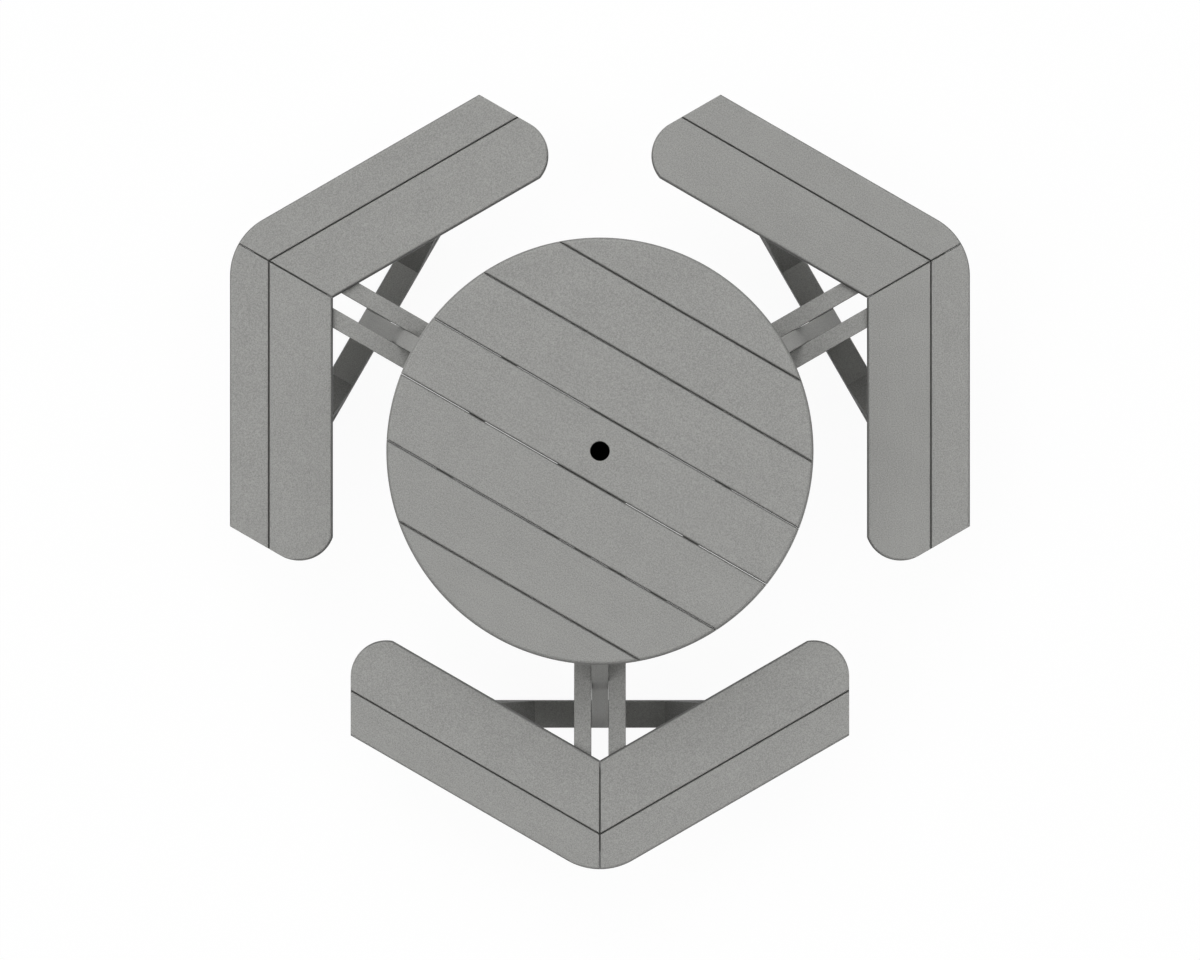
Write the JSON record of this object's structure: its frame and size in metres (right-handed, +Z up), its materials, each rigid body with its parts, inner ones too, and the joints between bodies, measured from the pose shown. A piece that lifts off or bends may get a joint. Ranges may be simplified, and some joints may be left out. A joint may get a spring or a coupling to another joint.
{
  "type": "round picnic table",
  "caption": "Round plank table top on three raking legs, with V-shaped bench seats carried on paired rails and struts, and an umbrella hole in the middle",
  "frame": {"origin": "on the ground, under the middle of the whole outline; the table's own axis is 88 mm from it towards +Y", "axes": "+Z up; +Y from the point of the front seat through the table axis towards the gap between the two back seats; +X to the right"},
  "size_m": [2.1844, 2.2864, 0.737],
  "materials": {
    "planks": "matte, finely speckled",
    "frame": "matte, finely speckled",
    "fasteners": "satin"
  },
  "bodies": {
    "root": {"top_plank_1": "planks", "top_plank_2": "planks", "top_plank_3": "planks", "top_plank_4": "planks", "top_plank_5": "planks", "top_plank_6": "planks", "top_plank_7": "planks", "top_batten_left": "frame", "top_batten_right": "frame", "top_batten_upper": "frame", "top_batten_lower": "frame", "head_cleats_front": "frame", "head_cleats_right": "frame", "head_cleats_left": "frame", "leg_front": "frame", "leg_right": "frame", "leg_left": "frame", "seat_rail_front_a": "frame", "seat_rail_front_b": "frame", "seat_rail_right_a": "frame", "seat_rail_right_b": "frame", "seat_rail_left_a": "frame", "seat_rail_left_b": "frame", "foot_front": "frame", "foot_right": "frame", "foot_left": "frame", "strut_front_a": "frame", "strut_front_b": "frame", "strut_right_a": "frame", "strut_right_b": "frame", "strut_left_a": "frame", "strut_left_b": "frame", "seat_front_inner_a": "planks", "seat_front_inner_b": "planks", "seat_front_outer_a": "planks", "seat_front_outer_b": "planks", "seat_right_inner_a": "planks", "seat_right_inner_b": "planks", "seat_right_outer_a": "planks", "seat_right_outer_b": "planks", "seat_left_inner_a": "planks", "seat_left_inner_b": "planks", "seat_left_outer_a": "planks", "seat_left_outer_b": "planks", "seat_cleats_front": "frame", "seat_cleats_right": "frame", "seat_cleats_left": "frame", "rail_block_front": "frame", "rail_block_right": "frame", "rail_block_left": "frame", "hub_board_upper": "frame", "hub_board_lower": "frame", "rail_bolts": "fasteners", "head_bolts": "fasteners", "bolt_washers": "fasteners", "bolt_nuts": "fasteners", "top_screws": "fasteners", "seat_screws": "fasteners", "frame_screws": "fasteners"}
  },
  "joints": []
}
